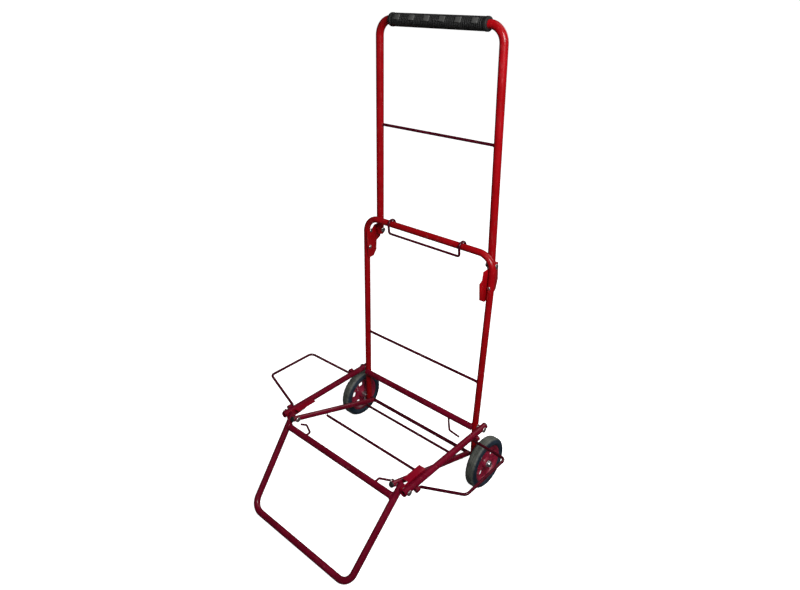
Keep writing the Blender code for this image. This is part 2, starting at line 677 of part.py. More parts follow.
def main():
    clear_scene()
    red = make_material("red_paint", (0.42, 0.006, 0.012), 0.25, 0.0)
    steel = make_material("zinc_steel", (0.72, 0.72, 0.70), 0.3, 1.0)
    rubber = make_material("black_rubber", (0.02, 0.02, 0.02), 0.7, 0.0)
    plastic = make_material("black_plastic", (0.015, 0.015, 0.015), 0.45, 0.0)
    nylon = make_material("grey_nylon", (0.55, 0.55, 0.52), 0.5, 0.0)

    cart = make_empty("cart", Vector((0, 0, 0)) - ORIGIN)
    frame = make_empty("frame_joint", AXLE, cart)
    build_back_frame(frame, red)
    build_rear_bar(frame, red)
    build_back_wire(frame, red)
    build_hinge_plates(frame, red, steel)
    build_axle(frame, red, steel)
    build_latch_wire(frame, red)
    build_platform_pins(frame, steel)
    for name, side in SIDES:
        wheel_joint = make_empty("wheel_joint_" + name, at_x(AXLE, side * WHEEL_X), frame)
        build_wheel(name, side, wheel_joint, rubber, red, nylon)

    handle_joint = make_empty("handle_joint", HANDLE_PIVOT, frame)
    build_handle(handle_joint, red, steel, rubber)
    bail_joint = make_empty("bail_joint", FRAME_TOP, frame)
    build_bail(bail_joint, red)

    platform_joint = make_empty("platform_joint", PIVOT, frame)
    build_rails(platform_joint, red, steel, plastic)
    build_corner_plates(platform_joint, red)
    build_wing_eyes(platform_joint, red)
    for name, side in SIDES:
        wing_joint = make_empty("wing_joint_" + name, at_x(PIVOT, side * EYE_X), platform_joint)
        build_wing(name, side, wing_joint, red)
    strut_joint = make_empty("strut_joint", CORNER, platform_joint)
    build_struts(strut_joint, red, plastic)
    foot_joint = make_empty("foot_joint", CORNER, platform_joint)
    build_foot(foot_joint, red)


main()
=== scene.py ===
import json
import math

import bmesh
import bpy
from mathutils import Matrix, Vector


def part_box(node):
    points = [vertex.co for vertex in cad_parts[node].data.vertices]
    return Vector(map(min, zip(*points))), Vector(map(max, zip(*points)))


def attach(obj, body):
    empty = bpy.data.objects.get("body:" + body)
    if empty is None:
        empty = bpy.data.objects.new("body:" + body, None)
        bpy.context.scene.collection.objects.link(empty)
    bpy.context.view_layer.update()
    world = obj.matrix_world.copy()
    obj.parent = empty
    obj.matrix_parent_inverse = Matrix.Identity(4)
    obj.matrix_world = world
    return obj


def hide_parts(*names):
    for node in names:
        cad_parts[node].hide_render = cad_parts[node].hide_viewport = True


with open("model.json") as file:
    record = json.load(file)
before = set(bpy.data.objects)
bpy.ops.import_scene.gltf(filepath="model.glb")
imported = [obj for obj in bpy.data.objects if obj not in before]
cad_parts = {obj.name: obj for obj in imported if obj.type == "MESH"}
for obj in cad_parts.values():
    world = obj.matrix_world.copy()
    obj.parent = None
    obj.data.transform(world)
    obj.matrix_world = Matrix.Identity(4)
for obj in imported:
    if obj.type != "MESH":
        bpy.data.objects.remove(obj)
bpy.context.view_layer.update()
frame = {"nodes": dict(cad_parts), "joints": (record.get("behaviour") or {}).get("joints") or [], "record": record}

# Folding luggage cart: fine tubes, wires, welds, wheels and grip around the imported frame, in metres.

MM = 0.001
GAP = 0.3 * MM
SIDES = (("l", -1), ("r", 1))
X_AXIS = Vector((1, 0, 0))
Y_AXIS = Vector((0, 1, 0))
Z_AXIS = Vector((0, 0, 1))
BODIES = frame["record"]["behaviour"]["bodies"]
BODY_OF = {node: body for body, nodes in BODIES.items() for node in nodes}

# Radii of tubes and wires, and how their meshes are divided
TUBE = 7.0 * MM
HANDLE_TUBE = 8.0 * MM
STRUT_TUBE = 6.0 * MM
WALL = 1.2 * MM
HOLLOW_DEPTH = 14 * MM
CROSS_WIRE = 3.0 * MM
STAY_WIRE = 2.3 * MM
BAIL_WIRE = 2.6 * MM
WING_WIRE = 3.0 * MM
CAD_BAR_SIDES = 12
FACET = math.cos(math.pi / CAD_BAR_SIDES)   # a CAD bar's flats lie at this share of its radius
TUBE_SIDES = 32
WIRE_SIDES = 16
ROUND_SEGMENTS = 40
BEND_STEPS = 14
FINE_BEND_STEPS = 8
WIRE_BEND_STEPS = 10
LEG_BEND_STEPS = 4
CROWN_STEPS = 8
BROKEN_EDGE = 0.94
SMOOTH_ANGLE = math.radians(38)
BEVEL_ANGLE = math.radians(42)

# Rivets and pins: radius, head radius and head height
PIN = 3.0 * MM
PIN_HEAD = 6.0 * MM
PIN_HEAD_HEIGHT = 3.0 * MM
RIVET_SEGMENTS = 28


def joint_at(name):
    """A joint's place at rest."""
    place = next(joint["pos_m"] for joint in frame["joints"] if joint["name"] == name)
    return Vector(place)


def centre(node):
    low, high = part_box(node)
    return (low + high) / 2


def half_size(node):
    low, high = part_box(node)
    return (high - low) / 2


def at_x(point, x):
    return Vector((x, point.y, point.z))


def inner_end(node, line, side):
    """The point on a line along X that is level with the node's end nearest the middle of the cart."""
    low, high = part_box(node)
    return at_x(line, side * min(abs(low.x), abs(high.x)))


def mirrored(point, side=-1):
    return Vector((point.x * side, point.y, point.z))


# Places read from the frame
PIVOT = joint_at("platform_fold")
CORNER = joint_at("strut_fold")
HINGE = joint_at("handle_fold")
FRAME_TOP = joint_at("bail_swing")
AXLE = at_x(joint_at("wheel_spin_r"), 0)
WHEEL_X = joint_at("wheel_spin_r").x
FRAME_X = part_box("axle_spacer_r")[0].x - GAP - TUBE
FRAME_TOP_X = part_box("back_frame")[1].x - TUBE * FACET
HANDLE_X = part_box("handle_pin_r")[0].x + PIN_HEAD_HEIGHT + GAP + HANDLE_TUBE
HANDLE_TOP = at_x(centre("handle_grip"), 0)
HANDLE_WIRE = centre("handle_cross_wire")
RAIL_X = centre("rail_r").x
STRUT_X = centre("strut_r").x
FOOT_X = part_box("foot_tube")[1].x - TUBE * FACET
FOOT_BAR = Vector((0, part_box("foot_tube")[0].y + TUBE * FACET, TUBE))
FRONT_BAR = centre("front_bar")
REAR_BAR = centre("rear_bar")
RAIL_DIRECTION = (CORNER - PIVOT).normalized()
RAIL_NORMAL = -X_AXIS.cross(RAIL_DIRECTION).normalized()

# Bends and ends
FRAME_BEND = 34 * MM
LEG_BEND = 60 * MM
HANDLE_BEND = 31 * MM
FOOT_BEND = 27 * MM
FOOT_BAR_HALF_WIDTH = 147 * MM
FOOT_OVERRUN = 8 * MM
LATCH_BEND = 5 * MM
CORNER_WIRE_BEND = 4 * MM
RAIL_TAIL = 13 * MM
RAIL_NOSE = 10 * MM
STRUT_NOSE = 9 * MM
STRUT_TAIL = 4 * MM
STRUT_TAIL_DROP = 1.7 * MM
PLUG_HEIGHT = 3 * MM
SADDLE_GAP = 0.1 * MM
STRUT_WIRES = ("strut_rear_wire", "strut_front_wire")

# Bail: its eyes' place, their clearance round the hinge bar, and how low the loop hangs
BAIL_X = 95 * MM
BAIL_CLEARANCE = 0.6 * MM
BAIL_DROP = 18 * MM
BAIL_BEND = 5 * MM

# Wings: how far the wire reaches out, where it leaves the eyes, and its bends from rear to front
WING_REACH = 100 * MM
WING_INSET = 9.5 * MM
WING_END = 16 * MM
WING_REAR_SLANT = 33 * MM
WING_FRONT_SLANT = 16 * MM
WING_BENDS = (3.5 * MM, 14 * MM, 9 * MM, 3.5 * MM)

# Wheels: radii of the bore, hub, rim and tyre, and where the tread's lighter colour, partly dust and partly a
# painted highlight, begins
HUB_BORE = 7.2 * MM
HUB = 11.5 * MM
RIM = 43.0 * MM
WHEEL = 58.2 * MM
TREAD_HIGHLIGHT_AND_DUST_START = 54.5 * MM
TREAD_HIGHLIGHT_AND_DUST_FULL = 57 * MM
TYRE_HALF_WIDTH = 12.5 * MM
TYRE_SEGMENTS = 144
SIPE_DEPTH = 1.1 * MM
WINDOWS = 5

# Grip
GRIP_RADIUS = 13.0 * MM
PAD_COUNT = 6
PAD_ANGLE = math.radians(30)
PAD_DISTANCE = GRIP_RADIUS - 0.9 * MM
RIB_PITCH = 4.0 * MM


# ---------------------------------------------------------------- mesh tools

def joined(parts):
    """One bmesh that holds the closed shells of several."""
    whole = bmesh.new()
    for part in parts:
        mesh = bpy.data.meshes.new("part")
        part.to_mesh(mesh)
        part.free()
        whole.from_mesh(mesh)
        bpy.data.meshes.remove(mesh)
    return whole


def rounded_path(points, bends, steps=BEND_STEPS):
    """Replace each inner corner of a polyline with an arc; bends is one radius or one for each corner."""
    if not isinstance(bends, (list, tuple)):
        bends = [bends] * (len(points) - 2)
    path = [points[0]]
    for before, corner, after, bend in zip(points, points[1:], points[2:], bends):
        arriving = (corner - before).normalized()
        leaving = (after - corner).normalized()
        turn = arriving.angle(leaving)
        start = corner - arriving * bend * math.tan(turn / 2)
        inward = (leaving - arriving * arriving.dot(leaving)).normalized()
        middle = start + inward * bend
        for step in range(steps + 1):
            angle = turn * step / steps
            path.append(middle - inward * bend * math.cos(angle) + arriving * bend * math.sin(angle))
    path.append(points[-1])
    return path


def mirrored_path(half):
    """A path that runs on from its middle as its own mirror image across X = 0."""
    return half + [mirrored(point) for point in reversed(half)]


def end_stations(kind, point, inward, radius):
    """(point, radius) stations that close a bar's end, from the middle of the end outward."""
    if kind == "hollow":
        bore = radius - WALL
        lip = WALL * 0.3
        return [
            (point + inward * HOLLOW_DEPTH, bore),
            (point + inward * lip, bore),
            (point, bore + lip),
            (point, radius - lip),
            (point + inward * lip, radius),
        ]
    if kind == "round":
        angles = [math.radians(degrees) for degrees in (78, 60, 40, 20, 0)]
        return [(point + inward * radius * (1 - math.sin(a)), radius * math.cos(a)) for a in angles]
    chamfer = radius * 0.14
    return [(point, radius - chamfer), (point + inward * chamfer, radius)]


def add_ring(mesh_data, place, across, other, radius, sides):
    """New vertices on a circle round a place."""
    ring = []
    for number in range(sides):
        angle = 2 * math.pi * number / sides
        offset = across * math.cos(angle) + other * math.sin(angle)
        ring.append(mesh_data.verts.new(place + offset * radius))
    return ring


def swept(path, radius, sides=TUBE_SIDES, ends=("flat", "flat")):
    """A round bar along a path; radius may be a list with one value for each point."""
    radii = radius if isinstance(radius, list) else [radius] * len(path)
    first = (path[1] - path[0]).normalized()
    last = (path[-1] - path[-2]).normalized()
    stations = [(place, size, first) for place, size in end_stations(ends[0], path[0], first, radii[0])]
    for index in range(1, len(path) - 1):
        tangent = (path[index + 1] - path[index - 1]).normalized()
        stations.append((path[index], radii[index], tangent))
    closing = end_stations(ends[1], path[-1], -last, radii[-1])
    stations += [(place, size, last) for place, size in reversed(closing)]
    mesh_data = bmesh.new()
    side = first.orthogonal().normalized()
    rings = []
    for place, size, tangent in stations:
        side = (side - tangent * side.dot(tangent)).normalized()
        rings.append(add_ring(mesh_data, place, side, tangent.cross(side), size, sides))
    bridge(mesh_data, rings)
    mesh_data.faces.new(rings[0])
    mesh_data.faces.new(rings[-1])
    return mesh_data


def bridge(mesh_data, rings):
    """Join neighbouring rings of vertices with faces; a ring of one vertex is a point on the axis."""
    for first, second in zip(rings, rings[1:]):
        sides = max(len(first), len(second))
        for number in range(sides):
            following = (number + 1) % sides
            corners = [first[number % len(first)], first[following % len(first)]]
            corners += [second[following % len(second)], second[number % len(second)]]
            mesh_data.faces.new(list(dict.fromkeys(corners)))


def turned(profile, middle, axis=X_AXIS, segments=ROUND_SEGMENTS):
    """Revolve (distance along the axis, radius) points; an outline that starts off the axis is closed."""
    mesh_data = bmesh.new()
    across = axis.orthogonal().normalized()
    other = axis.cross(across)
    rings = []
    for along, radius in profile:
        place = middle + axis * along
        if radius == 0:
            rings.append([mesh_data.verts.new(place)])
        else:
            rings.append(add_ring(mesh_data, place, across, other, radius, segments))
    if len(rings[0]) > 1:
        rings.append(rings[0])
    bridge(mesh_data, rings)
    return mesh_data


def flipped(profile):
    """A turned outline's points mirrored along the axis, last one first."""
    return [(-along, radius) for along, radius in reversed(profile)]


def block(size, bevel, segments=3):
    """A box with rounded edges, centred on the origin."""
    mesh_data = bmesh.new()
    bmesh.ops.create_cube(mesh_data, size=1)
    bmesh.ops.scale(mesh_data, verts=mesh_data.verts, vec=size)
    edges = mesh_data.edges[:]
    bmesh.ops.bevel(mesh_data, geom=edges, offset=bevel, segments=segments, profile=0.5, affect="EDGES")
    return mesh_data


def moved(mesh_data, offset):
    bmesh.ops.translate(mesh_data, verts=mesh_data.verts, vec=offset)
    return mesh_data


def spun(mesh_data, angle):
    """A bmesh turned about the X axis through the origin."""
    bmesh.ops.rotate(mesh_data, verts=mesh_data.verts, matrix=Matrix.Rotation(angle, 3, "X"))
    return mesh_data


def plate(outline, inner, outer):
    """A flat plate square to X, from an outline of (y, z) points."""
    mesh_data = bmesh.new()
    near, far = [[mesh_data.verts.new((x, y, z)) for y, z in outline] for x in (inner, outer)]
    mesh_data.faces.new(near)
    mesh_data.faces.new(reversed(far))
    bridge(mesh_data, [near, far])
    return mesh_data


def make_object(name, mesh_data, material):
    """A smooth-shaded object from a bmesh in world coordinates."""
    bmesh.ops.recalc_face_normals(mesh_data, faces=mesh_data.faces)
    mesh = bpy.data.meshes.new(name)
    mesh_data.to_mesh(mesh)
    mesh_data.free()
    mesh.shade_smooth()
    mesh.set_sharp_from_angle(angle=SMOOTH_ANGLE)
    if material:
        mesh.materials.append(material)
    made = bpy.data.objects.new(name, mesh)
    bpy.context.scene.collection.objects.link(made)
    return made


def apply_modifiers(piece):
    """Replace an object's mesh with what its modifiers make of it."""
    graph = bpy.context.evaluated_depsgraph_get()
    mesh = bpy.data.meshes.new_from_object(piece.evaluated_get(graph))
    piece.modifiers.clear()
    piece.data = mesh
    mesh.shade_smooth()
    mesh.set_sharp_from_angle(angle=SMOOTH_ANGLE)


def carve(piece, cutters, bevel=0):
    """Cut closed bmeshes out of a piece, then round its sharp edges if a bevel is given."""
    tools = []
    for number, mesh_data in enumerate(cutters):
        tool = make_object(f"cutter_{number}", mesh_data, None)
        cut = piece.modifiers.new("cut", "BOOLEAN")
        cut.operation = "DIFFERENCE"
        cut.object = tool
        tools.append(tool)
    if bevel:
        add_bevel(piece, bevel)
    apply_modifiers(piece)
    for tool in tools:
        bpy.data.objects.remove(tool)


def add_bevel(piece, width):
    bevel = piece.modifiers.new("bevel", "BEVEL")
    bevel.width = width
    bevel.segments = 2
    bevel.limit_method = "ANGLE"
    bevel.angle_limit = BEVEL_ANGLE


def add_piece(name, body, mesh_data, finish):
    """An extra piece on a body, with the material of its finish."""
    material, slot = finish
    piece = make_object(name, mesh_data, material)
    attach(piece, body)
    return piece


def stand_for(node, mesh_data, finish):
    """A fine piece that takes a CAD node's place on the node's own body."""
    piece = add_piece("fine_" + node, BODY_OF[node], mesh_data, finish)
    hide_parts(node)
    return piece


def refine_plate(node, finish, edge_radius):
    """The CAD plate's own shape with its flat faces cleaned up and its edges rounded."""
    mesh_data = bmesh.new()
    mesh_data.from_mesh(frame["nodes"][node].data)
    bmesh.ops.remove_doubles(mesh_data, verts=mesh_data.verts, dist=0.01 * MM)
    flat = math.radians(2)
    bmesh.ops.dissolve_limit(mesh_data, angle_limit=flat, verts=mesh_data.verts, edges=mesh_data.edges)
    piece = stand_for(node, mesh_data, finish)
    add_bevel(piece, edge_radius)
    apply_modifiers(piece)


# ---------------------------------------------------------------- materials

def add_node(tree, kind, inputs=None, **settings):
    """Add a shader node; an input may be a value or another node's output."""
    made = tree.nodes.new(kind)
    for name, value in settings.items():
        setattr(made, name, value)
    for name, value in (inputs or {}).items():
        socket = made.inputs[name]
        if isinstance(value, bpy.types.NodeSocket):
            tree.links.new(value, socket)
        else:
            socket.default_value = value
    return made


def new_material(name):
    material = bpy.data.materials.new(name)
    material.use_nodes = True
    tree = material.node_tree
    shader = tree.nodes["Principled BSDF"]
    where = add_node(tree, "ShaderNodeTexCoord").outputs["Object"]
    return material, tree, shader, where


def noise(tree, where, scale, detail, stretch=None):
    """Noise between 0 and 1; scale is in features per metre."""
    if stretch:
        where = add_node(tree, "ShaderNodeMapping", {"Vector": where, "Scale": stretch}).outputs["Vector"]
    values = {"Vector": where, "Scale": scale, "Detail": detail, "Roughness": 0.55}
    return add_node(tree, "ShaderNodeTexNoise", values).outputs["Fac"]


def span(tree, value, low, high, to_low=0.0, to_high=1.0):
    """Map low..high to to_low..to_high, clamped."""
    values = {"Value": value, "From Min": low, "From Max": high, "To Min": to_low, "To Max": to_high}
    return add_node(tree, "ShaderNodeMapRange", values).outputs["Result"]


def times(tree, first, second):
    return add_node(tree, "ShaderNodeMath", {0: first, 1: second}, operation="MULTIPLY").outputs[0]


def plus(tree, first, second):
    return add_node(tree, "ShaderNodeMath", {0: first, 1: second}, operation="ADD").outputs[0]


def mix(tree, factor, first, second):
    """Blend two colours."""
    made = add_node(tree, "ShaderNodeMix", {0: factor}, data_type="RGBA")
    for index, value in ((6, first), (7, second)):
        if isinstance(value, bpy.types.NodeSocket):
            tree.links.new(value, made.inputs[index])
        else:
            made.inputs[index].default_value = (*value, 1)
    return made.outputs[2]


def vector_math(tree, operation, *values):
    return add_node(tree, "ShaderNodeVectorMath", dict(enumerate(values)), operation=operation)


def bump(tree, shader, height, distance, strength):
    """Add a bump to the shader, on top of any that it has."""
    values = {"Height": height, "Distance": distance, "Strength": strength}
    links = shader.inputs["Normal"].links
    if links:
        values["Normal"] = links[0].from_socket
    made = add_node(tree, "ShaderNodeBump", values)
    tree.links.new(made.outputs["Normal"], shader.inputs["Normal"])


def put(tree, shader, **inputs):
    """Set shader inputs by name, with _ for a space."""
    for name, value in inputs.items():
        socket = shader.inputs[name.replace("_", " ")]
        if isinstance(value, bpy.types.NodeSocket):
            tree.links.new(value, socket)
        else:
            socket.default_value = value


def enamel(name, deep, bright, wear):
    """Glossy stoved enamel: uneven depth of colour, orange peel, scuffs and chips down to dark primer."""
    material, tree, shader, where = new_material(name)
    depth = noise(tree, where, 22, 4)
    mottled = noise(tree, where, 190, 3)
    colour = mix(tree, span(tree, depth, 0.32, 0.68), deep, bright)
    darker = tuple(part * 0.72 for part in deep)
    colour = mix(tree, span(tree, mottled, 0.55, 0.75, 0, 0.22), colour, darker)
    patches = span(tree, noise(tree, where, 26, 2), 0.56, 0.70)
    chips = span(tree, noise(tree, where, 520, 5), 0.66 - wear * 0.06, 0.68 - wear * 0.06)
    chipped = times(tree, patches, chips)
    scuffs = span(tree, noise(tree, where, 260, 4, (0.35, 1.0, 0.12)), 0.60, 0.74)
    scuffed_red = (0.45, 0.16, 0.15)
    primer = (0.055, 0.04, 0.038)
    colour = mix(tree, times(tree, scuffs, 0.16), colour, scuffed_red)
    colour = mix(tree, chipped, colour, primer)
    rough = plus(tree, span(tree, depth, 0.3, 0.7, 0.20, 0.34), times(tree, scuffs, 0.18))
    rough = plus(tree, rough, times(tree, chipped, 0.3))
    put(tree, shader, Base_Color=colour, Roughness=rough)
    put(tree, shader, Specular_IOR_Level=0.24, Coat_Weight=0.16, Coat_Roughness=0.08, Coat_IOR=1.4)
    bump(tree, shader, noise(tree, where, 1500, 2), 0.03 * MM, 0.5)
    bump(tree, shader, span(tree, chipped, 0, 1, 1, 0), 0.12 * MM, 0.6)
    return material


def grip_foam(name, dark, light, grain):
    """Moulded rubber: fine grain, dusty in the hollows and a little polished on the ridges."""
    material, tree, shader, where = new_material(name)
    broad = noise(tree, where, 60, 4)
    fine = noise(tree, where, 900, 4)
    colour = mix(tree, span(tree, broad, 0.3, 0.7), dark, light)
    dust = tuple(part * 1.9 for part in light)
    colour = mix(tree, span(tree, fine, 0.55, 0.8, 0, 0.5), colour, dust)
    put(tree, shader, Base_Color=colour, Roughness=span(tree, broad, 0.3, 0.7, 0.5, 0.72))
    put(tree, shader, Specular_IOR_Level=0.35)
    bump(tree, shader, fine, grain, 0.8)
    return material


def tyre_rubber():
    """Black rubber with an olive-grey tread that is partly dust and partly a painted highlight, and a faint bluish
    tint on its walls.
    """
    material, tree, shader, where = new_material("tyre_rubber")
    broad = noise(tree, where, 45, 4)
    fine = noise(tree, where, 700, 4)
    flat = vector_math(tree, "MULTIPLY", where, (0, 1, 1)).outputs["Vector"]
    spoke = vector_math(tree, "SUBTRACT", flat, AXLE).outputs["Vector"]
    reach = vector_math(tree, "LENGTH", spoke).outputs["Value"]
    wall = mix(tree, span(tree, broad, 0.35, 0.65), (0.007, 0.012, 0.022), (0.016, 0.032, 0.056))
    # The tread's lighter olive-grey is partly dust and partly a painted highlight along the tread.
    tread = mix(tree, span(tree, broad, 0.3, 0.7), (0.048, 0.053, 0.047), (0.140, 0.149, 0.128))
    dust = (0.11, 0.10, 0.085)
    colour = mix(tree, span(tree, reach, TREAD_HIGHLIGHT_AND_DUST_START, TREAD_HIGHLIGHT_AND_DUST_FULL), wall, tread)
    colour = mix(tree, span(tree, fine, 0.58, 0.8, 0, 0.5), colour, dust)
    put(tree, shader, Base_Color=colour, Roughness=span(tree, broad, 0.3, 0.7, 0.42, 0.66))
    put(tree, shader, Specular_IOR_Level=0.45)
    bump(tree, shader, fine, 0.08 * MM, 0.7)
    return material


def moulded(name, first, second, rough, grain):
    """Injection-moulded plastic: slight flow marks, a fine texture and painted shade in the texture's hollows."""
    material, tree, shader, where = new_material(name)
    flow = noise(tree, where, 70, 3, (1, 1, 0.4))
    fine = noise(tree, where, 1100, 2)
    colour = mix(tree, span(tree, flow, 0.3, 0.7), first, second)
    # Painted shade: the fine texture's hollows are darkened towards half the colour.
    painted_hollow_shade = tuple(part * 0.5 for part in first)
    colour = mix(tree, span(tree, fine, 0.6, 0.85, 0, 0.25), colour, painted_hollow_shade)
    put(tree, shader, Base_Color=colour, Roughness=span(tree, flow, 0.3, 0.7, rough, rough + 0.14))
    put(tree, shader, Specular_IOR_Level=0.5, Coat_Weight=0.15, Coat_Roughness=0.2)
    bump(tree, shader, fine, grain, 0.6)
    return material


def plated_steel(name, bright, dull, rough):
    """Zinc-plated steel: cloudy plating, turning marks round the axle and small dark pits."""
    material, tree, shader, where = new_material(name)
    cloud = noise(tree, where, 160, 4)
    marks = noise(tree, where, 900, 3, (1, 0.06, 0.06))
    pits = span(tree, noise(tree, where, 1300, 4), 0.70, 0.76)
    colour = mix(tree, span(tree, cloud, 0.35, 0.7), bright, dull)
    rust = (0.10, 0.07, 0.05)
    colour = mix(tree, times(tree, pits, 0.7), colour, rust)
    roughness = plus(tree, span(tree, marks, 0.3, 0.7, rough, rough + 0.16), times(tree, pits, 0.3))
    put(tree, shader, Base_Color=colour, Roughness=roughness, Metallic=1.0)
    bump(tree, shader, marks, 0.03 * MM, 0.6)
    return material


def make_finishes():
    """Each finish is a material and the record's slot for it."""
    upper = enamel("red_enamel", (0.27, 0.0012, 0.003), (0.36, 0.002, 0.006), wear=0.4)
    # Painted shade: the lower tubes and the corner plates wear the same red paint as the upper frame, in darker
    # copies that paint in the shade lower down on the cart.
    shaded_lower = enamel("shaded_red_enamel", (0.125, 0.001, 0.011), (0.19, 0.002, 0.019), wear=0.8)
    corner = enamel("shaded_corner_enamel", (0.20, 0.001, 0.010), (0.28, 0.002, 0.017), wear=0.6)
    wire = enamel("dark_wire_enamel", (0.046, 0.0008, 0.006), (0.085, 0.0015, 0.011), wear=0.7)
    wheel_red = moulded("red_plastic", (0.22, 0.006, 0.026), (0.34, 0.016, 0.052), 0.3, 0.04 * MM)
    zinc = plated_steel("zinc_plate", (0.80, 0.82, 0.84), (0.58, 0.59, 0.60), 0.2)
    rivet_steel = plated_steel("rivet_plate", (0.74, 0.68, 0.66), (0.50, 0.44, 0.43), 0.26)
    sleeve = grip_foam("grip_rubber", (0.004, 0.004, 0.004), (0.011, 0.011, 0.011), 0.12 * MM)
    pad = grip_foam("grip_pads", (0.050, 0.050, 0.048), (0.075, 0.075, 0.072), 0.08 * MM)
    tyre_black = tyre_rubber()
    plug = moulded("black_caps", (0.012, 0.012, 0.013), (0.02, 0.02, 0.021), 0.36, 0.05 * MM)
    nylon = moulded("nylon_bushes", (0.55, 0.55, 0.52), (0.68, 0.68, 0.64), 0.4, 0.03 * MM)
    return {
        "upper": (upper, "red_paint"),
        "shaded_lower": (shaded_lower, "red_paint"),
        "corner": (corner, "red_paint"),
        "wire": (wire, "red_wire"),
        "wheel": (wheel_red, "wheel_red"),
        "zinc": (zinc, "zinc_steel"),
        "rivet": (rivet_steel, "rivet_steel"),
        "grip": (sleeve, "grip_rubber"),
        "pad": (pad, "grip_rubber"),
        "tyre": (tyre_black, "tyre_rubber"),
        "plastic": (plug, "black_plastic"),
        "nylon": (nylon, "grey_nylon"),
    }


# ---------------------------------------------------------------- welds

BEAD = 1.5 * MM
WIRE_BEAD = 1.1 * MM
STAY_BEAD = 1.0 * MM
BEAD_STEP = 0.9 * MM
BEAD_SIDES = 10


def lumpy(path, thickness):
    """A weld bead along a path, with the overlapping scales that a weld leaves."""
    radii = []
    for number in range(len(path)):
        swell = 1 + 0.16 * math.sin(2.1 * number) + 0.07 * math.sin(5.3 * number)
        radii.append(thickness * swell)
    return swept(path, radii, BEAD_SIDES, ("round", "round"))


def bead_around(middle, toward, radius, spread=180, thickness=BEAD, axis=X_AXIS):
    """A bead on an arc round a bar along the axis, spread degrees each way from the side it faces."""
    toward = (toward - axis * toward.dot(axis)).normalized()
    across = axis.cross(toward)
    reach = math.radians(spread)
    steps = max(6, int(2 * reach * radius / BEAD_STEP))
    path = []
    for step in range(steps + 1):
        angle = -reach + 2 * reach * step / steps
        path.append(middle + (toward * math.cos(angle) + across * math.sin(angle)) * radius)
    return lumpy(path, thickness)


def bead_across(middle, reach):
    """A straight wire bead, reach each way from its middle."""
    start = middle - reach
    end = middle + reach
    steps = max(4, int((end - start).length / BEAD_STEP))
    return lumpy([start.lerp(end, step / steps) for step in range(steps + 1)], WIRE_BEAD)


# ---------------------------------------------------------------- back frame

def frame_line(z):
    """The centre line of the +X leg of the back frame at height z."""
    if z <= PIVOT.z:
        part = (PIVOT.z - z) / (PIVOT.z - AXLE.z)
        return Vector((FRAME_X, PIVOT.y + (AXLE.y - PIVOT.y) * part, z))
    part = (z - PIVOT.z) / (FRAME_TOP.z - PIVOT.z)
    return at_x(PIVOT, FRAME_X).lerp(at_x(FRAME_TOP, FRAME_TOP_X), part)


def straight_bar(node, radius, sides=TUBE_SIDES, overrun=0.0, ends=("flat", "flat")):
    """A bar along X between the node's ends, or a little past them."""
    end = at_x(centre(node), half_size(node).x + overrun)
    return swept([mirrored(end), end], radius, sides, ends)


def back_frame(finishes):
    """One bent tube, and the rear bar, which is hollowed at its ends to sit on the legs."""
    leg_end = frame_line(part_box("back_frame")[0].z)
    leg_pivot = frame_line(PIVOT.z)
    leg_top = at_x(FRAME_TOP, FRAME_TOP_X)
    legs = rounded_path([leg_end, leg_pivot, leg_top], LEG_BEND, LEG_BEND_STEPS)[:-1]
    corner = rounded_path([leg_pivot, leg_top, mirrored(leg_top)], FRAME_BEND)[1:-1]
    tube = swept(mirrored_path(legs + corner), TUBE, ends=("hollow", "hollow"))
    stand_for("back_frame", tube, finishes["upper"])

    rear_bar = stand_for("rear_bar", straight_bar("rear_bar", TUBE), finishes["shaded_lower"])
    saddles = []
    for _, side in SIDES:
        heights = (PIVOT.z - 40 * MM, PIVOT.z, PIVOT.z + 40 * MM)
        leg = [mirrored(frame_line(z), side) for z in heights]
        saddles.append(swept(leg, TUBE + SADDLE_GAP))
    carve(rear_bar, saddles)


def cross_wire(node, finishes):
    """A straight wire between two tubes, run on to touch them."""
    wire = straight_bar(node, CROSS_WIRE, WIRE_SIDES, 2 * GAP)
    stand_for(node, wire, finishes["wire"])


def wire_end_bead(node, side):
    """A bead round the end of a cross wire."""
    end = at_x(centre(node), side * half_size(node).x)
    return bead_around(end, Z_AXIS, CROSS_WIRE, thickness=WIRE_BEAD)


def frame_welds(finishes):
    """Beads of the wire, the rear bar and the latch wire on the back frame."""
    beads = []
    for _, side in SIDES:
        beads.append(wire_end_bead("back_cross_wire", side))
        seam = at_x(REAR_BAR, side * (FRAME_X - TUBE * 0.72))
        beads.append(bead_around(seam, Y_AXIS, TUBE, spread=78))
    latch_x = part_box("latch_wire")[0].x + STAY_WIRE
    latch_foot = Vector((latch_x, REAR_BAR.y, REAR_BAR.z - TUBE))
    beads.append(bead_around(latch_foot, X_AXIS, STAY_WIRE, thickness=STAY_BEAD, axis=Z_AXIS))
    add_piece("frame_welds", "back_frame", joined(beads), finishes["upper"])


def dome(radius, height, rim):
    """The outline of a round head: flat face at 0, an upright rim, then a crown on the axis."""
    profile = [(0, 0), (0, radius * BROKEN_EDGE), (rim * 0.3 + 0.05 * height, radius)]
    return profile + crown(radius, rim, height, 1)


def crown(radius, low, high, first_step):
    """(along, radius) points of a quarter ellipse that ends on the axis."""
    points = []
    for step in range(first_step, CROWN_STEPS):
        angle = math.pi / 2 * step / CROWN_STEPS
        points.append((low + (high - low) * math.sin(angle), radius * math.cos(angle)))
    return points + [(high, 0)]


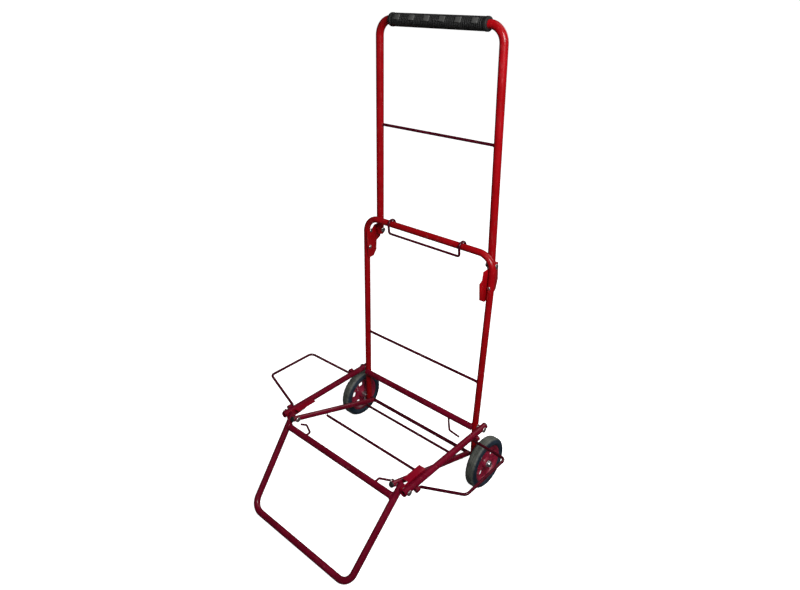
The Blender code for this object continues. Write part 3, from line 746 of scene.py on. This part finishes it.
def hinge_plates(finishes):
    for name, side in SIDES:
        refine_plate("hinge_plate_" + name, finishes["upper"], 0.55 * MM)
        for number in (1, 2):
            node = f"hinge_rivet_{name}_{number}"
            low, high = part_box(node)
            seat = at_x(centre(node), high.x if side > 0 else low.x)
            outline = dome(half_size(node).z, high.x - low.x, 0.5 * MM)
            head = turned(outline, seat, X_AXIS * -side, RIVET_SEGMENTS)
            stand_for(node, head, finishes["rivet"])


def front_rivet(finishes):
    """A small domed rivet, sunk a little into the front of the +X leg below its hinge pin."""
    drop = 31 * MM
    sunk = 0.3 * MM
    seat = frame_line(HINGE.z - drop) - Y_AXIS * (TUBE - sunk)
    head = turned(dome(3.6 * MM, 2.0 * MM, 0.4 * MM), seat, -Y_AXIS, RIVET_SEGMENTS)
    add_piece("hinge_front_rivet", "back_frame", head, finishes["rivet"])


def axle_parts(finishes):
    """The axle rod, the spacers beside the legs and the domed caps pressed on its ends."""
    rod = half_size("axle").z / FACET
    stand_for("axle", straight_bar("axle", rod), finishes["wire"])
    for name, side in SIDES:
        along = X_AXIS * side
        node = "axle_spacer_" + name
        sleeve = spacer_outline(rod, 2 * half_size(node).x)
        stand_for(node, turned(sleeve, inner_end(node, AXLE, side), along), finishes["zinc"])
        node = "axle_cap_" + name
        cap = cap_outline(rod, 2 * half_size(node).x)
        stand_for(node, turned(cap, inner_end(node, AXLE, side), along), finishes["zinc"])


def spacer_outline(bore, length):
    outer = 8 * MM
    lip = 0.5 * MM
    return [
        (0, bore),
        (0, outer - lip),
        (lip, outer),
        (length - lip, outer),
        (length, outer - lip),
        (length, bore),
    ]


def cap_outline(bore, height):
    """A pressed cap with a hollow for the rod's end, a narrow flange and a domed crown."""
    radius = 7.8 * MM
    hollow = 1.0 * MM
    outline = [(hollow, 0), (hollow, bore), (0, bore)]
    outline += [(0, radius - 0.5 * MM), (0.5 * MM, radius), (0.9 * MM, radius), (1.2 * MM, radius * 0.9)]
    return outline + crown(radius * 0.88, 1.4 * MM, height, 0)


def pin_head(start, height):
    """(along, radius) points of a pan head, from its flat face out; height may be negative."""
    shares = ((0.0, 0.95), (0.12, 1.0), (0.42, 1.0), (0.66, 0.93), (0.86, 0.74), (0.97, 0.45), (1.0, 0.0))
    return [(start + height * part, PIN_HEAD * width) for part, width in shares]


def rivet(node, side, finishes):
    """A rivet along X with a pan head at each end."""
    length = 2 * half_size(node).x - 2 * PIN_HEAD_HEIGHT
    profile = list(reversed(pin_head(0, -PIN_HEAD_HEIGHT))) + [(0, PIN), (length, PIN)]
    profile += pin_head(length, PIN_HEAD_HEIGHT)
    start = centre(node) - X_AXIS * side * length / 2
    stand_for(node, turned(profile, start, X_AXIS * side, RIVET_SEGMENTS), finishes["rivet"])


def platform_pins(finishes):
    """Studs out of the legs with a collar between leg and rail and a pan head outside the rail."""
    edge = PIN_HEAD * BROKEN_EDGE
    for name, side in SIDES:
        node = "platform_pin_" + name
        length = 2 * half_size(node).x - PIN_HEAD_HEIGHT
        start = inner_end(node, PIVOT, side)
        inner = FRAME_X + TUBE - abs(start.x)
        outer = RAIL_X - TUBE - abs(start.x)
        profile = [(0, 0), (0, PIN), (inner, PIN), (inner, edge), (inner + GAP, PIN_HEAD)]
        profile += [(outer - GAP, PIN_HEAD), (outer, edge), (outer, PIN), (length, PIN)]
        profile += pin_head(length, PIN_HEAD_HEIGHT)
        stand_for(node, turned(profile, start, X_AXIS * side, RIVET_SEGMENTS), finishes["rivet"])


def latch_wire(finishes):
    """The bent wire under the rear bar that keeps the strut's fork on the axle."""
    low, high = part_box("latch_wire")
    overrun = 1.2 * MM
    top = Vector((low.x + STAY_WIRE, REAR_BAR.y, high.z + overrun))
    bend = top + Vector((2, -3, -9)) * MM
    knee = Vector((110 * MM, PIVOT.y - 24 * MM, 115 * MM))
    hook = Vector((high.x, PIVOT.y - 27 * MM, 114 * MM))
    route = rounded_path([top, bend, knee, hook], LATCH_BEND, FINE_BEND_STEPS)
    stand_for("latch_wire", swept(route, STAY_WIRE, WIRE_SIDES, ("flat", "round")), finishes["wire"])


# ---------------------------------------------------------------- wheels

def tyre(name, side, finishes):
    """A solid tyre: rounded walls with a raised ring, three tread grooves and cut shoulders."""
    half = TYRE_HALF_WIDTH
    floor = WHEEL - 1.3 * MM
    wall = [
        (half - 3.0 * MM, RIM - 0.1 * MM),
        (half - 1.6 * MM, RIM + 0.6 * MM),
        (half - 0.3 * MM, RIM + 3.0 * MM),
        (half - 0.1 * MM, RIM + 5.0 * MM),
        (half + 0.25 * MM, RIM + 5.4 * MM),
        (half + 0.25 * MM, RIM + 6.4 * MM),
        (half - 0.2 * MM, RIM + 6.9 * MM),
        (half - 0.7 * MM, RIM + 10.0 * MM),
        (half - 2.2 * MM, WHEEL - 2.6 * MM),
        (half - 3.9 * MM, WHEEL - 1.0 * MM),
        (half - 6.0 * MM, WHEEL - 0.2 * MM),
    ]
    side_groove = [(6.0 * MM, WHEEL), (5.7 * MM, floor), (4.4 * MM, floor), (4.1 * MM, WHEEL)]
    middle_groove = [(0.8 * MM, WHEEL), (0.6 * MM, floor)]
    tread = wall + side_groove + middle_groove
    middle = at_x(AXLE, side * WHEEL_X)
    mesh_data = turned(tread + flipped(tread), middle, segments=TYRE_SEGMENTS)
    cut_shoulders(mesh_data, middle)
    stand_for("tyre_" + name, mesh_data, finishes["tyre"])


def cut_shoulders(mesh_data, middle):
    """Sink every fourth row of the tyre's shoulders, outside the tread and above the walls."""
    for vert in mesh_data.verts:
        out = vert.co - middle
        spoke = at_x(out, 0)
        if abs(out.x) < 6.2 * MM or spoke.length < RIM + 9 * MM:
            continue
        row = round(math.atan2(spoke.z, spoke.y) / (2 * math.pi) * TYRE_SEGMENTS)
        if row % 4 == 0:
            vert.co -= spoke.normalized() * SIPE_DEPTH


def around_hub(mesh_data, distance, number, middle):
    """Set a bmesh at a distance from the hub and turn it to its place among the windows."""
    spun(moved(mesh_data, Z_AXIS * distance), 2 * math.pi * number / WINDOWS)
    return moved(mesh_data, middle)


def wheel(name, side, finishes):
    """A moulded wheel: stepped hub, dished web with five windows, and a rim that holds the tyre."""
    middle = at_x(AXLE, side * WHEEL_X)
    hub_half = half_size("wheel_" + name).x
    half = TYRE_HALF_WIDTH
    face = [
        (hub_half, HUB_BORE),
        (hub_half, HUB - 1.2 * MM),
        (hub_half - 1.0 * MM, HUB),
        (5.2 * MM, HUB + 0.4 * MM),
        (3.8 * MM, HUB + 1.2 * MM),
        (3.1 * MM, HUB + 3.0 * MM),
        (2.6 * MM, RIM - 8.5 * MM),
        (3.2 * MM, RIM - 6.8 * MM),
        (half - 4.6 * MM, RIM - 4.6 * MM),
        (half - 4.0 * MM, RIM - 3.6 * MM),
        (half - 3.4 * MM, RIM - 0.6 * MM),
    ]
    disc = turned(face + flipped(face), middle, segments=80)
    piece = stand_for("wheel_" + name, disc, finishes["wheel"])
    windows = []
    for number in range(WINDOWS):
        window = block((24 * MM, 15 * MM, 16 * MM), 3.4 * MM, 4)
        windows.append(around_hub(window, 27 * MM, number, middle))
    carve(piece, windows, 0.45 * MM)

    ribs = []
    for number in range(WINDOWS):
        rib = block((9.4 * MM, 2.4 * MM, 24 * MM), 0.7 * MM)
        ribs.append(around_hub(rib, 26 * MM, number + 0.5, middle))
    add_piece("wheel_ribs_" + name, "wheel_" + name, joined(ribs), finishes["wheel"])


def wheel_bush(name, side, finishes):
    """The nylon bush between hub and axle."""
    half = half_size("wheel_bush_" + name).x
    outer = 7.0 * MM
    inner = half_size("axle").z / FACET + 0.1 * MM
    edge = 0.4 * MM
    face = [(half, inner), (half, outer - edge), (half - edge, outer)]
    bush = turned(face + flipped(face), at_x(AXLE, side * WHEEL_X))
    stand_for("wheel_bush_" + name, bush, finishes["nylon"])


# ---------------------------------------------------------------- handle

def handle_line(z):
    """The centre line of the +X leg of the handle at height z."""
    wire_x = half_size("handle_cross_wire").x + GAP + HANDLE_TUBE
    lean = (wire_x - HANDLE_X) / (HANDLE_WIRE.z - HINGE.z)
    part = (z - HINGE.z) / (HANDLE_TOP.z - HINGE.z)
    return Vector((HANDLE_X + lean * (z - HINGE.z), HINGE.y + (HANDLE_TOP.y - HINGE.y) * part, z))


def handle(finishes):
    low = handle_line(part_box("handle_tube")[0].z)
    top = handle_line(HANDLE_TOP.z)
    path = mirrored_path(rounded_path([low, top, mirrored(top)], HANDLE_BEND)[:-1])
    tube = swept(path, HANDLE_TUBE, ROUND_SEGMENTS, ("hollow", "hollow"))
    stand_for("handle_tube", tube, finishes["upper"])
    cross_wire("handle_cross_wire", finishes)
    beads = [wire_end_bead("handle_cross_wire", side) for _, side in SIDES]
    add_piece("handle_welds", "handle", joined(beads), finishes["upper"])
    for name, side in SIDES:
        rivet("handle_pin_" + name, side, finishes)


def grip(finishes):
    """A moulded rubber sleeve with a collar at each end and fine ribs between."""
    half = half_size("handle_grip").x
    valley = GRIP_RADIUS - 1.0 * MM
    crest = GRIP_RADIUS - 0.5 * MM
    collar = [
        (half, HANDLE_TUBE + 0.1 * MM),
        (half, GRIP_RADIUS - 1.6 * MM),
        (half - 0.8 * MM, GRIP_RADIUS - 0.4 * MM),
        (half - 2.0 * MM, GRIP_RADIUS),
        (half - 6.0 * MM, GRIP_RADIUS),
        (half - 7.0 * MM, valley),
    ]
    count = int((half - 9 * MM) * 2 / RIB_PITCH)
    ribs = []
    for number in range(count):
        start = (count / 2 - number) * RIB_PITCH
        ribs += [(start, valley), (start - 0.5 * MM, crest)]
        ribs += [(start - 2.3 * MM, crest), (start - 2.8 * MM, valley)]
    sleeve = turned(collar + ribs + flipped(collar), HANDLE_TOP, segments=64)
    stand_for("handle_grip", sleeve, finishes["grip"])


def grip_pads(finishes):
    """A row of square pads on the front of the grip and another on its back."""
    pads = []
    pitch = (2 * half_size("handle_grip").x - 11 * MM) / PAD_COUNT
    for turn in (PAD_ANGLE, PAD_ANGLE + math.pi):
        for number in range(PAD_COUNT):
            pad = moved(block((13 * MM, 3 * MM, 10.5 * MM), 1.1 * MM), Y_AXIS * -PAD_DISTANCE)
            place = HANDLE_TOP + X_AXIS * pitch * (number - (PAD_COUNT - 1) / 2)
            pads.append(moved(spun(pad, -turn), place))
    add_piece("grip_pads", "handle", joined(pads), finishes["pad"])


def bail(finishes):
    """A wire loop that hangs from two open eyes round the hinge bar."""
    radius = TUBE + BAIL_WIRE + BAIL_CLEARANCE
    middle = at_x(FRAME_TOP, BAIL_X)
    steps = 32
    eye = []
    for step in range(steps + 1):
        angle = math.radians(-70 + 250 * step / steps)
        offset = Vector((0, math.cos(angle), math.sin(angle))) * radius
        eye.append(middle + offset)
    low = Vector((BAIL_X, FRAME_TOP.y - radius, FRAME_TOP.z - BAIL_DROP))
    corner = rounded_path([eye[-1], low, mirrored(low)], BAIL_BEND, WIRE_BEND_STEPS)[1:-1]
    wire = swept(mirrored_path(eye + corner), BAIL_WIRE, WIRE_SIDES, ("round", "round"))
    stand_for("bail_wire", wire, finishes["wire"])


# ---------------------------------------------------------------- platform

def end_plug(node, seat, along, radius, finishes):
    """A black cap in a tube's end: a thin flange over the wall and a low crown."""
    profile = dome(radius * 1.02, PLUG_HEIGHT, 1.2 * MM)
    stand_for(node, turned(profile, seat, along, 36), finishes["plastic"])


def rails(finishes):
    for name, side in SIDES:
        tail = at_x(PIVOT - RAIL_DIRECTION * RAIL_TAIL, side * RAIL_X)
        nose = at_x(CORNER + RAIL_DIRECTION * RAIL_NOSE, side * RAIL_X)
        rail = swept([tail, nose], TUBE, ends=("flat", "hollow"))
        stand_for("rail_" + name, rail, finishes["shaded_lower"])
        end_plug("rail_plug_" + name, tail, -RAIL_DIRECTION, TUBE, finishes)
        rivet("corner_pin_" + name, side, finishes)
        refine_plate("corner_plate_" + name, finishes["corner"], 0.4 * MM)


def wing_eyes(finishes):
    """Short tubes on the outer faces of the rails, each with a bead above and below."""
    half = 4.5 * MM
    inner = 3.5 * MM
    outer = 5.2 * MM
    lip = 0.4 * MM
    face = [(half, inner), (half, outer - lip), (half - lip, outer)]
    beads = []
    for name, side in SIDES:
        for place in ("rear", "front"):
            node = f"wing_eye_{place}_{name}"
            eye = turned(face + flipped(face), centre(node), RAIL_DIRECTION, 32)
            stand_for(node, eye, finishes["shaded_lower"])
            seam = at_x(centre(node), side * (RAIL_X + TUBE * 0.9))
            for up in (-1, 1):
                middle = seam + RAIL_NORMAL * up * outer * 0.62
                beads.append(bead_across(middle, RAIL_DIRECTION * half * 0.8))
    add_piece("rail_welds", "platform", joined(beads), finishes["shaded_lower"])


def wing(name, side, finishes):
    """One bent wire: two ends in the eyes, two legs outward and the outer edge."""
    slope = math.radians(17.5)
    outward = (X_AXIS * side * math.cos(slope) + RAIL_NORMAL * math.sin(slope)) * WING_REACH
    forward = RAIL_DIRECTION / abs(RAIL_DIRECTION.y)
    rear_leg = centre(f"wing_eye_rear_{name}") + forward * WING_INSET
    front_leg = centre(f"wing_eye_front_{name}") - forward * WING_INSET
    points = [
        rear_leg - forward * WING_END,
        rear_leg,
        rear_leg + forward * WING_REAR_SLANT + outward,
        front_leg - forward * WING_FRONT_SLANT + outward,
        front_leg,
        front_leg + forward * WING_END,
    ]
    path = rounded_path(points, WING_BENDS, WIRE_BEND_STEPS)
    wire = swept(path, WING_WIRE, WIRE_SIDES, ("round", "round"))
    stand_for("wing_" + name, wire, finishes["wire"])


# ---------------------------------------------------------------- struts and foot

def struts(finishes):
    """Tubes from the corner rivets to the axle, each with an open fork, joined by two wires."""
    rear = AXLE - Z_AXIS * STRUT_TAIL_DROP
    direction = (CORNER - rear).normalized()
    upward = -X_AXIS.cross(direction).normalized()
    reach = X_AXIS * STRUT_TUBE * 0.4
    beads = []
    for name, side in SIDES:
        start = at_x(rear - direction * STRUT_TAIL, side * STRUT_X)
        nose = at_x(CORNER + direction * STRUT_NOSE, side * STRUT_X)
        strut = stand_for("strut_" + name, swept([start, nose], STRUT_TUBE), finishes["shaded_lower"])
        carve(strut, [fork_slot(direction, upward, side)], 0.3 * MM)
        end_plug("strut_plug_" + name, nose, direction, STRUT_TUBE, finishes)
        for node in STRUT_WIRES:
            seam = at_x(centre(node), side * STRUT_X) + upward * CROSS_WIRE * 0.8
            for edge in (-0.9, 0.9):
                beads.append(bead_across(seam + direction * edge * CROSS_WIRE, reach))
    for node in STRUT_WIRES:
        wire = straight_bar(node, CROSS_WIRE, WIRE_SIDES, ends=("round", "round"))
        stand_for(node, wire, finishes["wire"])
    add_piece("strut_welds", "struts", joined(beads), finishes["shaded_lower"])


def fork_slot(direction, upward, side):
    """A slot that is round where it seats on the axle and flares to the strut's rear end."""
    radius = 4.6 * MM
    depth = 14 * MM
    steps = 24
    outline = []
    for step in range(steps + 1):
        angle = math.pi * step / steps
        outline.append(AXLE + (upward * math.cos(angle) + direction * math.sin(angle)) * radius)
    outline.append(AXLE - upward * (radius + 3 * MM) - direction * depth)
    outline.append(AXLE + upward * (radius + 1 * MM) - direction * depth)
    inner = side * STRUT_X - 2 * STRUT_TUBE
    return plate([(point.y, point.z) for point in outline], inner, inner + 4 * STRUT_TUBE)


def foot(finishes):
    """The foot's bent tube and the front bar, which is hollowed at its ends to sit on the legs."""
    bottom = at_x(FOOT_BAR, FOOT_BAR_HALF_WIDTH)
    top = at_x(CORNER, FOOT_X)
    start = top - (bottom - top).normalized() * FOOT_OVERRUN
    path = mirrored_path(rounded_path([start, bottom, mirrored(bottom)], FOOT_BEND)[:-1])
    stand_for("foot_tube", swept(path, TUBE, ends=("hollow", "hollow")), finishes["shaded_lower"])

    front_bar = stand_for("front_bar", straight_bar("front_bar", TUBE), finishes["shaded_lower"])
    legs = [[mirrored(start, side), mirrored(bottom, side)] for _, side in SIDES]
    carve(front_bar, [swept(leg, TUBE + SADDLE_GAP) for leg in legs])


def corner_wires(finishes):
    """The two bent stays behind the front bar, and the foot's weld beads."""
    base = FRONT_BAR + Y_AXIS * (TUBE + GAP)
    end_x = STRUT_X - STRUT_TUBE - STAY_WIRE
    route = (
        Vector((104 * MM, 0, 0)),
        Vector((104 * MM, 9 * MM, 1 * MM)),
        Vector((127 * MM, 19 * MM, 2 * MM)),
        Vector((end_x, 12 * MM, 2 * MM)),
    )
    beads = []
    for name, side in SIDES:
        seam = at_x(FRONT_BAR, side * (FOOT_X - TUBE * 1.25))
        beads.append(bead_around(seam, Z_AXIS, TUBE))
        points = [at_x(base + point, side * point.x) for point in route]
        path = rounded_path(points, CORNER_WIRE_BEND, FINE_BEND_STEPS)
        stay = swept(path, STAY_WIRE, WIRE_SIDES, ("flat", "round"))
        stand_for("corner_wire_" + name, stay, finishes["wire"])
        beads.append(bead_around(points[0], X_AXIS, STAY_WIRE, thickness=STAY_BEAD, axis=Y_AXIS))
    add_piece("foot_welds", "foot", joined(beads), finishes["shaded_lower"])


# ---------------------------------------------------------------- stage

STUDIO_RADIUS = 20
CART_MIDDLE = (0, 0, 0.45)
HANDLE_MIDDLE = (0.12, 0.2, 0.8)
COOL_WHITE = (0.80, 0.87, 1.0)

# The camera: its place in metres, its angles, and its lens
CAMERA_PLACE = (0.7745, -0.7100, 1.0780)
CAMERA_AZIMUTH = math.radians(43.66)
CAMERA_ELEVATION = math.radians(28.17)
CAMERA_ROLL = math.radians(-3.46)
CAMERA_LENS = 28.22
CAMERA_SHIFT = -0.0264


def paper(name, glow):
    """White studio paper that glows a little, so that it stays white without more light on the cart."""
    material, tree, shader, where = new_material(name)
    grain = noise(tree, where, 3, 2)
    put(tree, shader, Base_Color=mix(tree, grain, (0.90, 0.90, 0.90), (0.93, 0.93, 0.93)), Roughness=0.9)
    put(tree, shader, Specular_IOR_Level=0.0, Emission_Color=(1, 1, 1, 1), Emission_Strength=glow)
    return material


def stage_piece(name, mesh_data, glow):
    """A piece of the studio, which lights nothing and shades nothing."""
    piece = make_object(name, mesh_data, paper(name + "_paper", glow))
    piece.visible_diffuse = False
    piece.visible_glossy = False
    piece.visible_shadow = False


def studio():
    """A wide white floor inside a white dome."""
    floor = bmesh.new()
    bmesh.ops.create_circle(floor, cap_ends=True, segments=64, radius=STUDIO_RADIUS)
    stage_piece("floor", floor, glow=0.97)
    backdrop = bmesh.new()
    bmesh.ops.create_uvsphere(backdrop, u_segments=64, v_segments=32, radius=STUDIO_RADIUS)
    stage_piece("backdrop", backdrop, glow=1.04)


def area_light(name, place, aim, size, power, colour=(1, 1, 1)):
    data = bpy.data.lights.new(name, "AREA")
    data.shape = "DISK"
    data.size = size
    data.energy = power
    data.color = colour
    light = bpy.data.objects.new(name, data)
    light.location = place
    light.rotation_euler = (Vector(aim) - Vector(place)).to_track_quat("-Z", "Y").to_euler()
    light.visible_camera = False
    bpy.context.scene.collection.objects.link(light)


def lights():
    """A key from the right on the handle, a cool fill in front, and soft light above and behind."""
    area_light("key", (1.0, -0.36, 1.36), HANDLE_MIDDLE, size=0.7, power=22)
    area_light("front_fill", (0.2, -2.6, 1.6), CART_MIDDLE, size=2.0, power=2.6, colour=COOL_WHITE)
    area_light("top", (0.6, 0.5, 2.6), CART_MIDDLE, size=1.6, power=5)
    area_light("back", (0.3, 2.6, 1.5), CART_MIDDLE, size=2.0, power=20)
    world = bpy.data.worlds.new("studio")
    world.use_nodes = True
    background = world.node_tree.nodes["Background"]
    background.inputs["Color"].default_value = (1, 1, 1, 1)
    background.inputs["Strength"].default_value = 0.05
    bpy.context.scene.world = world
    bpy.context.scene.view_settings.view_transform = "Standard"
    bpy.context.scene.view_settings.look = "None"


def camera():
    """The viewing angle: seen from the front right, from above, with a slight roll."""
    level = Vector((math.cos(CAMERA_AZIMUTH), math.sin(CAMERA_AZIMUTH), 0))
    outward = Vector((math.sin(CAMERA_AZIMUTH), -math.cos(CAMERA_AZIMUTH), 0))
    away = outward * math.cos(CAMERA_ELEVATION) + Z_AXIS * math.sin(CAMERA_ELEVATION)
    upright = away.cross(level)
    right = level * math.cos(CAMERA_ROLL) + upright * math.sin(CAMERA_ROLL)
    up = upright * math.cos(CAMERA_ROLL) - level * math.sin(CAMERA_ROLL)
    data = bpy.data.cameras.new("camera")
    data.sensor_width = 36
    data.lens = CAMERA_LENS
    data.shift_y = CAMERA_SHIFT
    made = bpy.data.objects.new("camera", data)
    turn = Matrix((right, up, away)).transposed().to_4x4()
    made.matrix_world = Matrix.Translation(CAMERA_PLACE) @ turn
    bpy.context.scene.collection.objects.link(made)
    bpy.context.scene.camera = made


def main():
    finishes = make_finishes()
    camera()
    lights()
    studio()
    back_frame(finishes)
    cross_wire("back_cross_wire", finishes)
    frame_welds(finishes)
    hinge_plates(finishes)
    front_rivet(finishes)
    axle_parts(finishes)
    platform_pins(finishes)
    latch_wire(finishes)
    handle(finishes)
    grip(finishes)
    grip_pads(finishes)
    bail(finishes)
    rails(finishes)
    wing_eyes(finishes)
    struts(finishes)
    foot(finishes)
    corner_wires(finishes)
    for name, side in SIDES:
        tyre(name, side, finishes)
        wheel(name, side, finishes)
        wheel_bush(name, side, finishes)
        wing(name, side, finishes)


main()
